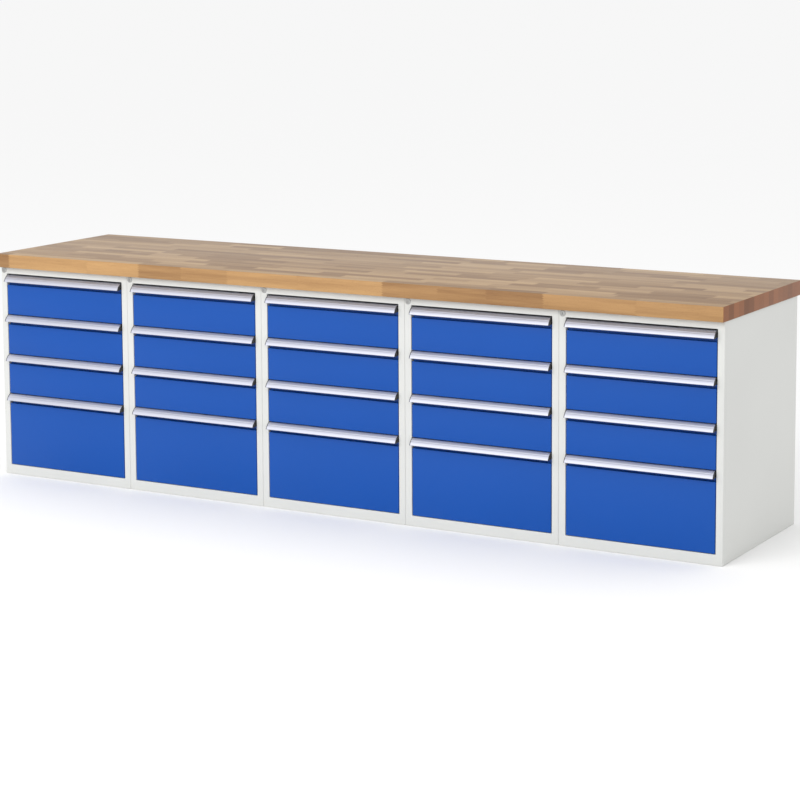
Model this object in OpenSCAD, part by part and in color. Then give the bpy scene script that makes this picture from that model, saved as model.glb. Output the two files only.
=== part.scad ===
// Workbench: a row of steel drawer cabinets under one solid beech worktop.
// X runs along the bench, -Y is its front and +Z is up.
// The origin is on the floor, under the middle of the worktop.

/* [Cabinets] */
// Number of cabinets side by side
cabinet_count = 5; // [1:1:5]
// Width of one cabinet
cabinet_w = 580; // [460:5:740]
// Depth of one cabinet
cabinet_d = 650; // [540:5:800]
// Height of one cabinet
cabinet_h = 790; // [650:5:960]
// Sheet thickness of the cabinet
cabinet_sheet = 1.5; // [1:0.1:2]
// Visible width of a stile beside the drawers
stile_w = 25; // [24:0.5:35]
// Depth of the fold behind a stile
stile_fold = 20; // [12:1:22]
// Height of the rail above the drawers
header_h = 26; // [24:0.5:40]
// Height of the rail below the drawers
base_h = 36; // [30:0.5:80]
// Width of the flanges that the worktop and the floor meet
flange_w = 25; // [20:1:30]

/* [Worktop] */
// Thickness of the worktop
worktop_t = 50; // [38:1:60]
// Overhang of the worktop past each end of the row
side_overhang = 4; // [0:0.5:30]
// Overhang of the worktop past the front
front_overhang = 25; // [22:1:60]
// Overhang of the worktop past the back
back_overhang = 25; // [0:1:60]

/* [Drawers] */
// Number of drawers in a cabinet; the bottom one takes the height that is left
drawer_count = 4; // [2:1:4]
// Height of each drawer above the bottom one, from handle to handle
low_pitch = 150; // [120:1:165]
// Sheet thickness of the drawers
drawer_sheet = 1.2; // [0.8:0.1:1.6]
// Gap beside a drawer front
side_gap = 2.5; // [1.5:0.1:4]
// Gap between a front and the handle below it
stack_gap = 2.5; // [1.5:0.1:4]
// Gap above the top handle
top_gap = 6; // [2:0.5:8]
// Gap below the bottom front
bottom_gap = 2; // [1.5:0.5:6]
// Depth of the folded front
front_depth = 15; // [12:0.5:18]
// Distance from the top of a handle down to the top of the blue face
grip_drop = 36; // [32:0.5:45]
// Distance from the top of a handle down to the rim of the tray
rim_drop = 33; // [28:0.5:40]
// Distance from the bottom of a front up to the tray's bottom
tray_lift = 12; // [8:0.5:20]
// Gap between pieces of sheet that are riveted or spot-welded together
rivet_gap = 0.05; // [0.02:0.01:0.1]
// Distance from a tray's side to the edge of the opening
tray_inset = 15; // [12:0.5:20]
// Space between the back of a tray and the cabinet's back panel
tray_back_gap = 58; // [20:1:120]

/* [Handles] */
// How far the lip of a handle stands in front of the cabinet
handle_reach = 20; // [15:0.5:21]
// Height of a handle, from its top to its lip
handle_h = 22; // [18:0.5:26]
// Radius of the handle's curved face
handle_r = 40; // [30:1:80]
// Wall of the handle extrusion
handle_wall = 2; // [1.5:0.1:2.5]
// Height of the leg that lies against the front
handle_leg = 20; // [12:1:26]
// Height of the hook behind the front
clip_h = 8; // [5:0.5:10]
// Diameter of the bead along the lip
bead_dia = 3; // [2.2:0.1:4]
// Clearance of the clip groove round the front's top edge
clip_fit = 0.1; // [0.05:0.05:0.3]

/* [Runners] */
// Space between the back of a runner and the cabinet's back
runner_back_gap = 65; // [50:1:120]
// Height of a runner
runner_h = 35; // [30:1:40]
// Space beside a tray that a runner takes
runner_space = 12.5; // [12:0.1:14]
// Height of the moving rail, riveted to the tray
rail_h = 19; // [14:0.5:20]
// Running clearance between the two halves of a runner
runner_fit = 0.8; // [0.5:0.1:1.5]
// Wall of a runner
runner_wall = 2; // [1.5:0.1:2.5]
// Height of the runner's lower edge above the tray's bottom
runner_lift = 10; // [6:1:14]

/* [Runner posts] */
// Depth of a post, front to back
post_d = 40; // [30:1:60]
// Distance of the front post and the runners behind the cabinet's front
post_front = 35; // [34:1:50]
// Space between the rear post and the cabinet's back
post_rear = 85; // [80:1:120]

/* [Lock] */
// Distance of the lock from the cabinet's side and top
lock_inset = 13.5; // [13:0.5:15]
// Diameter of the lock's front ring
ring_dia = 21; // [18:0.5:22]
// Thickness of the lock's front ring
ring_t = 1.5; // [1:0.1:2]
// Diameter of the lock's housing
housing_dia = 16; // [14:0.5:16.5]
// Width of the square clip that holds the housing behind the sheet
clip_w = 18; // [17:0.5:18.5]
// Thickness of that clip
clip_t = 1; // [0.8:0.1:1.5]
// Diameter of the turning plug
plug_dia = 12; // [10:0.5:12.5]
// How far the plug stands in front of the sheet
plug_out = 1; // [0.5:0.1:1.4]
// Width of the key slot
key_w = 1.5; // [1:0.1:2]
// Height of the key slot
key_h = 7; // [5:0.5:8]
// Depth of the key slot
key_d = 11; // [6:1:14]
// Running clearance round the plug, on the radius
plug_fit = 0.08; // [0.05:0.01:0.1]
// Depth of the lock's housing behind the sheet
housing_l = 18; // [14:1:19]
// Thickness of the cam on the plug's end
cam_t = 2; // [1.5:0.1:2.5]
// Width of the cam
cam_w = 6; // [5:0.5:7]
// Distance from the plug's axis to its cam pin
cam_r = 7; // [6:0.1:7.4]
// Diameter of the cam pin
pin_dia = 4; // [3:0.5:4.5]
// How far the cam pin reaches past the lock bar, besides the gap between them
pin_out = 1; // [0:0.1:2]
// Turn of the key, in degrees
key_turn = 90; // [75:1:90]
// Thickness of the lock bar
bar_t = 3; // [2:0.5:3]
// Width of the lock bar
bar_w = 19; // [17:0.5:20]
// Height of bar left above the slot for the cam pin
bar_end = 4; // [3:0.5:6]
// Height of a catch, and of the lug that it holds
catch_h = 8; // [6:0.5:8]
// Overlap of a catch and its lug, across the drawer
catch_overlap = 3; // [2:0.5:4]
// How far a lug stands out from the tray
lug_reach = 7; // [6:0.5:8]
// Room between a runner and the catch above it
catch_room = 6; // [3:0.5:12]
// Diameter of the studs that guide the bar
stud_dia = 5; // [4:0.5:6]
// Rim of a stud's head round its shank
stud_rim = 2; // [1:0.5:3]
// Distance of the studs from the rails below and above the drawers
stud_inset = 34; // [30:1:60]
// Gap between moving lock parts, front to back
lock_gap = 1; // [0.6:0.1:1.2]
// Running clearance of the cam pin and the studs in their slots
slot_fit = 0.4; // [0.35:0.05:0.6]

/* [Fasteners] */
// Diameter of the bolts that join two cabinets
bolt_dia = 6; // [5:1:8]
// Height of a bolt's head
bolt_head_h = 4; // [3:0.5:6]
// Height of a nut
nut_h = 5; // [4:0.5:7]
// Length of thread that shows past a nut
bolt_tail = 2; // [1:0.5:4]
// Distance of those bolts from the cabinet's front and back
bolt_inset = 130; // [90:5:180]
// Distance of those bolts above the bottom and below the top
bolt_end = 75; // [50:5:120]
// Diameter of the screws that hold the worktop
screw_dia = 5; // [4:0.5:6]
// Length of a worktop screw
screw_l = 35; // [25:1:36]
// Height of a screw's head
screw_head_h = 3; // [2:0.5:4]
// Distance of the outer screws from the cabinet's front and back
screw_inset = 100; // [60:5:160]
// Clearance of a fastener in its hole, on the radius
hole_fit = 0.4; // [0.2:0.1:0.6]
// Clearance of a thread in its nut or wood, on the radius
thread_fit = 0.05; // [0.02:0.01:0.1]

/* [Hidden] */
$fn = 64;
EPS = 0.01;
// How far a cut runs past the faces that it goes through
CUT = 1;
// Hexagon across its corners, for a thread of diameter 1
HEX = 1.85;
cabinets = [1 : cabinet_count];
drawers = [1 : drawer_count];
sides = [-1, 1];

row_w = cabinet_count * cabinet_w;
worktop_w = row_w + 2 * side_overhang;
worktop_d = cabinet_d + front_overhang + back_overhang;
front_y = front_overhang - worktop_d / 2;
back_y = front_y + cabinet_d;
opening_w = cabinet_w - 2 * stile_w;
opening_top = cabinet_h - header_h;

front_w = opening_w - 2 * side_gap;
stack_top = opening_top - top_gap;
stack_h = stack_top - base_h - bottom_gap;
tall_pitch = stack_h - (drawer_count - 1) * low_pitch;
tray_w = opening_w - 2 * tray_inset;
tray_front = front_y + front_depth + rivet_gap;
tray_back = back_y - cabinet_sheet - tray_back_gap;

post_face = tray_w / 2 + runner_space;
post_y = [front_y + post_front, back_y - post_rear - post_d];
runner_y = front_y + post_front;
runner_l = cabinet_d - post_front - runner_back_gap;
slide_depth = runner_space - 2;

lock_x = lock_inset - cabinet_w / 2;
lock_z = cabinet_h - lock_inset;
cam_y = front_y + cabinet_sheet + housing_l + lock_gap;
bar_y = cam_y + cam_t + lock_gap;
bar_x = -cabinet_w / 2 + cabinet_sheet + lock_gap;
bar_lift = 2 * cam_r * sin(key_turn / 2);
lug_out = tray_w / 2 + lug_reach;
lug_rise = runner_lift + runner_h + catch_room + bar_lift + catch_h / 2;
pin_x = lock_x - cam_r * cos(key_turn / 2);
pin_z = lock_z - cam_r * sin(key_turn / 2);
stud_z = [base_h + stud_inset, opening_top - stud_inset];

bolt_y = [front_y + bolt_inset, back_y - bolt_inset];
bolt_z = [bolt_end, cabinet_h - bolt_end];
screw_x = cabinet_w / 2 - flange_w / 2;
screw_y = [front_y + screw_inset, (front_y + back_y) / 2, back_y - screw_inset];

// Middle of cabinet c, counted from the left
function cabinet_x(c) = (c - (cabinet_count + 1) / 2) * cabinet_w;

// Height of drawer d's place, counted from the top, and the top and bottom of its front
function pitch(d) = d == drawer_count ? tall_pitch : low_pitch;
function unit_top(d) = stack_top - (d - 1) * low_pitch;
function front_bottom(d) = unit_top(d) - pitch(d) + (d == drawer_count ? 0 : stack_gap);
function tray_bottom(d) = front_bottom(d) + tray_lift;
function lug_z(d) = tray_bottom(d) + lug_rise;

// A block between two corners
module block(low, high) {
    translate(low)
        cube(high - low);
}

// A block and its mirror image across the cabinet's middle
module both_sides(low, high) {
    block(low, high);
    mirror([1, 0, 0])
        block(low, high);
}

// A round bar along X or Y, starting at a point
module rod_x(start, dia, len) {
    translate(start)
        rotate([0, 90, 0])
            cylinder(d = dia, h = len);
}

module rod_y(start, dia, len) {
    translate(start)
        rotate([-90, 0, 0])
            cylinder(d = dia, h = len);
}

// An outline drawn in depth and height, run along X
module along_x(len) {
    rotate([90, 0, 90])
        linear_extrude(len, center = true)
            children();
}

module worktop() {
    color("burlywood")
        difference() {
            block(
                [-worktop_w / 2, -worktop_d / 2, cabinet_h],
                [worktop_w / 2, worktop_d / 2, cabinet_h + worktop_t]
            );
            for (c = cabinets, s = sides, y = screw_y)
                translate([cabinet_x(c) + s * screw_x, y, cabinet_h - EPS])
                    cylinder(r = screw_dia / 2 + thread_fit, h = screw_l + EPS);
        }
}

// Sides, back, bottom and the folded frame round the drawers, welded from sheet
module carcass_shell() {
    half = cabinet_w / 2;
    t = cabinet_sheet;
    in_x = half - t;
    open_x = opening_w / 2;
    both_sides([in_x, front_y, 0], [half, back_y, cabinet_h]);
    block([-in_x, back_y - t, 0], [in_x, back_y, cabinet_h]);
    block([-in_x, front_y + t, base_h - t], [in_x, back_y - t, base_h]);
    block([-open_x, front_y, 0], [open_x, front_y + t, base_h]);
    block([-open_x, front_y, opening_top], [open_x, front_y + t, cabinet_h]);
    block([-open_x, front_y, opening_top], [open_x, front_y + stile_fold, opening_top + t]);
    both_sides([open_x, front_y, 0], [in_x, front_y + t, cabinet_h]);
    both_sides([open_x, front_y, base_h], [open_x + t, front_y + stile_fold, opening_top + t]);
}

// Flanges that the worktop rests on, and the ones that stand on the floor
module carcass_flanges() {
    t = cabinet_sheet;
    in_x = cabinet_w / 2 - t;
    for (z = [0, cabinet_h - t]) {
        both_sides([in_x - flange_w, front_y + t, z], [in_x, back_y - t, z + t]);
        block([-in_x, front_y + t, z], [in_x, front_y + flange_w, z + t]);
        block([-in_x, back_y - flange_w, z], [in_x, back_y - t, z + t]);
    }
}

// Folded posts that carry the runners
module runner_posts() {
    t = cabinet_sheet;
    in_x = cabinet_w / 2 - t;
    for (y = post_y) {
        both_sides([post_face, y, base_h], [post_face + t, y + post_d, cabinet_h - t]);
        both_sides([post_face, y, base_h], [in_x, y + t, cabinet_h - t]);
        both_sides([post_face, y + post_d - t, base_h], [in_x, y + post_d, cabinet_h - t]);
    }
}

// Headed studs on the left front post that guide the lock bar
module guide_studs() {
    x = bar_x + bar_w / 2;
    y = bar_y - lock_gap;
    for (z = stud_z) {
        rod_y([x, y, z], stud_dia, post_y[0] - y);
        rod_y([x, y - ring_t, z], stud_dia + 2 * stud_rim, ring_t);
    }
}

module carcass(c) {
    color("whitesmoke")
        translate([cabinet_x(c), 0, 0])
            difference() {
                union() {
                    carcass_shell();
                    carcass_flanges();
                    runner_posts();
                    guide_studs();
                }
                rod_y(
                    [lock_x, front_y - CUT, lock_z],
                    housing_dia + 2 * plug_fit,
                    cabinet_sheet + 2 * CUT
                );
                for (s = sides, y = screw_y)
                    translate([s * screw_x, y, cabinet_h - cabinet_sheet - CUT])
                        cylinder(r = screw_dia / 2 + hole_fit, h = cabinet_sheet + 2 * CUT);
                for (s = sides, y = bolt_y, z = bolt_z)
                    if (c + s >= 1 && c + s <= cabinet_count)
                        rod_x(
                            [s * (cabinet_w - cabinet_sheet) / 2 - cabinet_sheet, y, z],
                            bolt_dia + 2 * hole_fit,
                            2 * cabinet_sheet
                        );
            }
}

// Fixed half of a runner: a channel whose lips leave a slot towards the tray
module fixed_runner(z) {
    face = post_face - slide_depth;
    wall = runner_wall;
    difference() {
        block([face, runner_y, z], [post_face, runner_y + runner_l, z + runner_h]);
        block(
            [face + wall, runner_y - CUT, z + wall],
            [post_face - wall, runner_y + runner_l + CUT, z + runner_h - wall]
        );
        block(
            [face - CUT, runner_y - CUT, z + (runner_h - rail_h) / 2 - runner_fit],
            [face + wall + CUT, runner_y + runner_l + CUT, z + (runner_h + rail_h) / 2 + runner_fit]
        );
    }
}

module drawer_runners() {
    color("silver")
        for (c = cabinets, d = drawers)
            translate([cabinet_x(c), 0, 0]) {
                fixed_runner(tray_bottom(d) + runner_lift);
                mirror([1, 0, 0])
                    fixed_runner(tray_bottom(d) + runner_lift);
            }
}

// Sheet front: the face and the folds round it, with the strip behind the grip on its top fold
module drawer_front(d) {
    t = drawer_sheet;
    low = front_bottom(d);
    high = unit_top(d) - grip_drop;
    half = front_w / 2;
    fold_y = front_y + front_depth;
    block([-half, front_y, low], [half, front_y + t, high]);
    block([-half, front_y, low], [half, fold_y, low + t]);
    block([-half, front_y, high - t], [half, fold_y, high]);
    both_sides([half - t, front_y, low], [half, fold_y, high]);
    block([-half, fold_y - t, high + rivet_gap], [half, fold_y, unit_top(d) - handle_wall]);
}

// Open tray behind the front
module tray(d) {
    t = drawer_sheet;
    low = tray_bottom(d);
    high = unit_top(d) - rim_drop;
    half = tray_w / 2;
    block([-half, tray_front, low], [half, tray_back, low + t]);
    both_sides([half - t, tray_front, low], [half, tray_back, high]);
    block([-half, tray_front, front_bottom(d)], [half, tray_front + t, high]);
    block([-half, tray_back - t, low], [half, tray_back, high]);
}

// Moving halves of the runners, riveted to the tray
module tray_rails(d) {
    z = tray_bottom(d) + runner_lift + (runner_h - rail_h) / 2;
    reach = post_face - runner_wall - runner_fit;
    both_sides(
        [tray_w / 2 + rivet_gap, runner_y + runner_fit, z],
        [reach, min(tray_back, runner_y + runner_l), z + rail_h]
    );
}

// Lug on the left side of the tray, just behind the lock bar's catch
module lock_lug(d) {
    y = bar_y + bar_t + lock_gap;
    block(
        [-lug_out, y, lug_z(d) - catch_h / 2],
        [-tray_w / 2 - rivet_gap, post_y[0] - lock_gap, lug_z(d) + catch_h / 2]
    );
}

module drawer(c, d) {
    translate([cabinet_x(c), 0, 0]) {
        color("royalblue")
            drawer_front(d);
        color("gainsboro")
            tray(d);
        color("silver") {
            tray_rails(d);
            lock_lug(d);
        }
    }
}

// Outline of the handle extrusion, with its front top edge at the origin
module handle_outline() {
    lip = [-handle_reach, -handle_h];
    chord = norm(lip);
    out = [-handle_h, handle_reach] / chord;
    centre = lip / 2 - out * sqrt(handle_r * handle_r - chord * chord / 4);
    sheet_out = front_depth - drawer_sheet;
    intersection() {
        translate(centre)
            difference() {
                circle(r = handle_r);
                circle(r = handle_r - handle_wall);
            }
        polygon([centre, -centre, 2 * lip - centre]);
    }
    translate(lip + [bead_dia / 2, 0])
        circle(d = bead_dia);
    translate([0, -handle_wall])
        square([front_depth + clip_fit + handle_wall, handle_wall]);
    translate([sheet_out - clip_fit - handle_wall, -handle_leg])
        square([handle_wall, handle_leg]);
    translate([front_depth + clip_fit, -clip_h])
        square([handle_wall, clip_h]);
}

module handle(c, d) {
    color("lightgray")
        translate([cabinet_x(c), front_y, unit_top(d)])
            along_x(front_w)
                handle_outline();
}

// Fixed lock body with its ring and the clip that holds it behind the sheet
module lock_housings() {
    color("silver")
        for (c = cabinets)
            translate([cabinet_x(c) + lock_x, front_y, lock_z])
                difference() {
                    union() {
                        rod_y([0, -ring_t, 0], ring_dia, ring_t);
                        rod_y([0, 0, 0], housing_dia, cabinet_sheet + housing_l);
                        block(
                            [-clip_w / 2, cabinet_sheet, -clip_w / 2],
                            [clip_w / 2, cabinet_sheet + clip_t, clip_w / 2]
                        );
                    }
                    rod_y(
                        [0, -ring_t - CUT, 0],
                        plug_dia + 2 * plug_fit,
                        ring_t + cabinet_sheet + housing_l + 2 * CUT
                    );
                }
}

// Turning plug with its key slot, cam and cam pin
module lock_plug(c) {
    turn = 180 + key_turn / 2;
    face = front_y - plug_out;
    color("dimgray")
        translate([cabinet_x(c) + lock_x, 0, lock_z]) {
            difference() {
                rod_y([0, face, 0], plug_dia, cam_y - face + EPS);
                block([-key_w / 2, face - CUT, -key_h / 2], [key_w / 2, face + key_d, key_h / 2]);
            }
            rod_y([0, cam_y, 0], plug_dia, cam_t);
            rotate([0, -turn, 0]) {
                block([0, cam_y, -cam_w / 2], [cam_r, cam_y + cam_t, cam_w / 2]);
                rod_y([cam_r, cam_y, 0], cam_w, cam_t);
                rod_y([cam_r, cam_y, 0], pin_dia, cam_t + 2 * lock_gap + bar_t + pin_out);
            }
        }
}

// Flat bar that the cam lifts, with one catch for each drawer welded to its edge
module lock_bar(c) {
    pin_room = pin_dia / 2 + slot_fit;
    low = lug_z(drawer_count) - bar_lift - catch_h;
    top = pin_z + pin_room + bar_end;
    tip = -lug_out + catch_overlap;
    back = bar_y + bar_t;
    stud_x = bar_x + bar_w / 2;
    stud_room = stud_dia / 2 + slot_fit;
    color("silver")
        translate([cabinet_x(c), 0, 0]) {
            difference() {
                block([bar_x, bar_y, low], [bar_x + bar_w, back, top]);
                block(
                    [bar_x - CUT, bar_y - CUT, pin_z - pin_room],
                    [pin_x + pin_room, back + CUT, pin_z + pin_room]
                );
                for (z = stud_z)
                    block(
                        [stud_x - stud_room, bar_y - CUT, z - stud_room - bar_lift],
                        [stud_x + stud_room, back + CUT, z + stud_room]
                    );
            }
            for (d = drawers)
                translate([0, 0, lug_z(d) - bar_lift])
                    block(
                        [bar_x + bar_w + rivet_gap, bar_y, -catch_h / 2],
                        [tip, back, catch_h / 2]
                    );
        }
}

// Screws driven up through the top flanges into the worktop
module worktop_screws() {
    color("silver")
        for (c = cabinets, s = sides, y = screw_y)
            translate([cabinet_x(c) + s * screw_x, y, cabinet_h - cabinet_sheet]) {
                translate([0, 0, -screw_head_h])
                    cylinder(d = 2 * screw_dia, h = screw_head_h);
                cylinder(d = screw_dia, h = screw_l);
            }
}

// A bolt with a hexagon head, and its nut
module joining_bolt() {
    grip = 2 * cabinet_sheet;
    rotate([0, 90, 0]) {
        translate([0, 0, -grip / 2 - bolt_head_h])
            cylinder(d = HEX * bolt_dia, h = bolt_head_h, $fn = 6);
        translate([0, 0, -grip / 2 - EPS])
            cylinder(d = bolt_dia, h = grip + nut_h + bolt_tail);
        translate([0, 0, grip / 2])
            difference() {
                cylinder(d = HEX * bolt_dia, h = nut_h, $fn = 6);
                translate([0, 0, -CUT])
                    cylinder(r = bolt_dia / 2 + thread_fit, h = nut_h + 2 * CUT);
            }
    }
}

module cabinet_bolts() {
    color("silver")
        for (c = [1 : 1 : cabinet_count - 1], y = bolt_y, z = bolt_z)
            translate([cabinet_x(c) + cabinet_w / 2, y, z])
                joining_bolt();
}

worktop();
drawer_runners();
lock_housings();
worktop_screws();
cabinet_bolts();
for (c = cabinets) {
    carcass(c);
    lock_plug(c);
    lock_bar(c);
    for (d = drawers) {
        drawer(c, d);
        handle(c, d);
    }
}
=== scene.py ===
import math

import bmesh
import bpy
from mathutils import Matrix, Vector


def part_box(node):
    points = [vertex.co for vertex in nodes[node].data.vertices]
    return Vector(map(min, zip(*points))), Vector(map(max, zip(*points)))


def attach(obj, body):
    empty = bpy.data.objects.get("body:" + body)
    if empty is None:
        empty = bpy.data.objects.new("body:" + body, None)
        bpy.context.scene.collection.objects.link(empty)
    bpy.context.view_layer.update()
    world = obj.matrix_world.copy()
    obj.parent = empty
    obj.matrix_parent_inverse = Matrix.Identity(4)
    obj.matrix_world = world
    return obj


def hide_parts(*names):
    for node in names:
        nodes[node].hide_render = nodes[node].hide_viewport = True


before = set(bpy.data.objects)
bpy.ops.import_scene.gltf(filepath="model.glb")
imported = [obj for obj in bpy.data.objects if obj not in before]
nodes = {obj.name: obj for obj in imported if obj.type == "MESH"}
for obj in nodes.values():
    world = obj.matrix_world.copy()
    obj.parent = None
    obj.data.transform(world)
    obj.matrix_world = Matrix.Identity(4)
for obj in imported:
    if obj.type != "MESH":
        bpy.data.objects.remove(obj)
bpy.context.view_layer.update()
scene = bpy.context.scene
print("frame loaded,", len(nodes), "nodes")


# Places that every piece shares, read from the frame

cabinetCount = len([name for name in nodes if name.startswith("carcass_")])
drawerCount = len([name for name in nodes if name.startswith("drawer_1_")])
cabinets = range(1, cabinetCount + 1)
drawers = range(1, drawerCount + 1)

topLow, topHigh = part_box("worktop")
cabinetLow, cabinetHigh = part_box("carcass_1")
cabinetWidth = cabinetHigh.x - cabinetLow.x
cabinetX = {c: sum(corner.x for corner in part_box(f"carcass_{c}")) / 2 for c in cabinets}
frontY, backY = cabinetLow.y, cabinetHigh.y
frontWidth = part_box("handle_1_1")[1].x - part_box("handle_1_1")[0].x


# Helpers for meshes


def newObject(name, mesh, body=None):
    obj = bpy.data.objects.new(name, mesh)
    scene.collection.objects.link(obj)
    if body:
        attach(obj, body)
    return obj


def toMesh(bm, name, material=None, sharpAngle=32):
    mesh = bpy.data.meshes.new(name)
    bm.to_mesh(mesh)
    bm.free()
    mesh.shade_smooth()
    mesh.set_sharp_from_angle(angle=math.radians(sharpAngle))
    if material:
        mesh.materials.append(material)
    return mesh


def evaluated(obj, name):
    # The mesh as its modifiers leave it, in the object's own space
    bpy.context.view_layer.update()
    shaped = obj.evaluated_get(bpy.context.evaluated_depsgraph_get())
    mesh = bpy.data.meshes.new_from_object(shaped)
    mesh.name = name
    return mesh


def moved(mesh, offset, name):
    copy = mesh.copy()
    copy.name = name
    copy.transform(Matrix.Translation(offset))
    return copy


def joined(meshes, name):
    bm = bmesh.new()
    for mesh in meshes:
        bm.from_mesh(mesh)
    result = bpy.data.meshes.new(name)
    bm.to_mesh(result)
    bm.free()
    for material in meshes[0].materials:
        result.materials.append(material)
    return result


def flat(low, high, facing):
    # A rectangle between two corners that share one coordinate, with its outside towards facing
    axis = min(range(3), key=lambda i: abs(high[i] - low[i]))
    u, v = [i for i in range(3) if i != axis]
    corners = []
    for a, b in ((low[u], low[v]), (high[u], low[v]), (high[u], high[v]), (low[u], high[v])):
        point = Vector((0, 0, 0))
        point[axis], point[u], point[v] = low[axis], a, b
        corners.append(point)
    normal = (corners[1] - corners[0]).cross(corners[2] - corners[0])
    return corners if normal[axis] * facing > 0 else corners[::-1]


def gridBox(xs, ys, zs, skip):
    # The faces of a box, cut along shared lines so that they weld; skip names the cells left open
    panels = []
    for side, (u, v, w) in enumerate(((ys, zs, xs), (xs, zs, ys), (xs, ys, zs))):
        for end in (0, -1):
            for i in range(len(u) - 1):
                for j in range(len(v) - 1):
                    if skip("xyz"[side], end, i, j):
                        continue
                    low, high = [0, 0, 0], [0, 0, 0]
                    a, b = [k for k in range(3) if k != side]
                    low[side] = high[side] = w[end]
                    low[a], high[a], low[b], high[b] = u[i], u[i + 1], v[j], v[j + 1]
                    panels.append(flat(low, high, 1 if end else -1))
    return panels


def sheetMetal(panels, bend, thickness, name, material):
    # Flat panels welded along their shared edges, the folds rounded, then given thickness inwards
    bm = bmesh.new()
    for corners in panels:
        bm.faces.new([bm.verts.new(point) for point in corners])
    bmesh.ops.remove_doubles(bm, verts=bm.verts, dist=1e-5)
    folds = [e for e in bm.edges if len(e.link_faces) == 2 and e.calc_face_angle() > 0.5]
    bmesh.ops.bevel(
        bm, geom=folds, offset=bend, segments=3, profile=0.5, affect="EDGES", clamp_overlap=False
    )
    obj = newObject(name, toMesh(bm, name, material))
    solid = obj.modifiers.new("Thickness", "SOLIDIFY")
    solid.thickness = thickness
    solid.offset = -1
    solid.use_even_offset = True
    solid.thickness_clamp = 1.2
    mesh = evaluated(obj, name)
    bpy.data.objects.remove(obj)
    mesh.set_sharp_from_angle(angle=math.radians(32))
    return mesh


def bentProfile(path, radius, thickness, steps=4):
    # Outline of a folded strip: one face follows the path, the metal lies to its left
    near, far = [], []
    points = [Vector(p) for p in path]
    for k, point in enumerate(points):
        if k in (0, len(points) - 1):
            way = (points[1] - point if k == 0 else point - points[-2]).normalized()
            near.append(point)
            far.append(point + thickness * Vector((-way.y, way.x)))
            continue
        way, onward = (point - points[k - 1]).normalized(), (points[k + 1] - point).normalized()
        angle = math.atan2(way.cross(onward), way.dot(onward))
        turn = math.copysign(1, angle)
        start = point - way * radius * math.tan(abs(angle) / 2)
        centre = start + turn * radius * Vector((-way.y, way.x))
        for step in range(steps + 1):
            spin = Matrix.Rotation(angle * step / steps, 2)
            near.append(centre + spin @ (start - centre))
            far.append(near[-1] + thickness * (spin @ Vector((-way.y, way.x))))
    return near + far[::-1]


def arcPoints(centre, radius, start, end, steps):
    spread = [start + (end - start) * k / steps for k in range(steps + 1)]
    return [Vector(centre) + radius * Vector((math.cos(a), math.sin(a))) for a in spread]


def prism(outline, axis, start, end, edge=0.0):
    # An outline run along an axis; its two coordinates are the other axes in order
    bm = bmesh.new()
    across = [i for i in range(3) if i != axis]

    def ring(at):
        verts = []
        for point in outline:
            place = Vector((0, 0, 0))
            place[axis], place[across[0]], place[across[1]] = at, point[0], point[1]
            verts.append(bm.verts.new(place))
        return verts

    first, last = ring(start), ring(end)
    count = len(outline)
    for k in range(count):
        bm.faces.new([first[k], first[(k + 1) % count], last[(k + 1) % count], last[k]])
    ends = [bm.faces.new(first), bm.faces.new(last)]
    bmesh.ops.recalc_face_normals(bm, faces=bm.faces)
    if edge:
        rim = {e for f in ends for e in f.edges}
        bmesh.ops.bevel(bm, geom=list(rim), offset=edge, segments=2, profile=0.5, affect="EDGES")
    return bm


def turned(profile, steps):
    # A profile of (radius, depth) pairs turned about the Y axis
    bm = bmesh.new()
    rings = []
    for radius, depth in profile:
        if radius == 0:
            rings.append([bm.verts.new((0, depth, 0))])
            continue
        circle = arcPoints((0, 0), radius, 0, 2 * math.pi, steps)[:-1]
        rings.append([bm.verts.new((x, depth, z)) for x, z in circle])
    for one, two in zip(rings, rings[1:]):
        for k in range(steps):
            face = [one[k % len(one)], one[(k + 1) % len(one)]]
            face += [two[(k + 1) % len(two)], two[k % len(two)]]
            bm.faces.new(list(dict.fromkeys(face)))
    bmesh.ops.recalc_face_normals(bm, faces=bm.faces)
    return bm


def pierced(mesh, cutter, name):
    # The mesh with the cutter's shape taken out of it
    obj, tool = newObject(name, mesh), newObject("cutter", cutter)
    obj.modifiers.new("Cut", "BOOLEAN").object = tool
    result = evaluated(obj, name)
    bpy.data.objects.remove(obj)
    bpy.data.objects.remove(tool)
    return result


def softened(node, width, name, material):
    # The CAD node's shape with its triangles merged and its edges rounded
    bm = bmesh.new()
    bm.from_mesh(nodes[node].data)
    bmesh.ops.remove_doubles(bm, verts=bm.verts, dist=1e-6)
    bmesh.ops.dissolve_limit(bm, angle_limit=math.radians(1), verts=bm.verts, edges=bm.edges)
    edges = [e for e in bm.edges if len(e.link_faces) == 2 and e.calc_face_angle() > 0.6]
    bmesh.ops.bevel(
        bm, geom=edges, offset=width, segments=2, profile=0.5, affect="EDGES", clamp_overlap=True
    )
    return toMesh(bm, name, material)


# Helpers for node trees


def addNode(tree, kind, inputs=None, **settings):
    node = tree.nodes.new(kind)
    for name, value in settings.items():
        setattr(node, name, value)
    for key, value in (inputs or {}).items():
        if isinstance(value, bpy.types.NodeSocket):
            tree.links.new(value, node.inputs[key])
        else:
            node.inputs[key].default_value = value
    return node


def calc(tree, operation, *values):
    return addNode(tree, "ShaderNodeMath", dict(enumerate(values)), operation=operation).outputs[0]


def vectorCalc(tree, operation, *values):
    kind = "ShaderNodeVectorMath"
    return addNode(tree, kind, dict(enumerate(values)), operation=operation).outputs[0]


def blendColours(tree, factor, one, two, mode="MIX"):
    node = addNode(
        tree, "ShaderNodeMix", {0: factor, 6: one, 7: two}, data_type="RGBA", blend_type=mode
    )
    return node.outputs[2]


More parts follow.
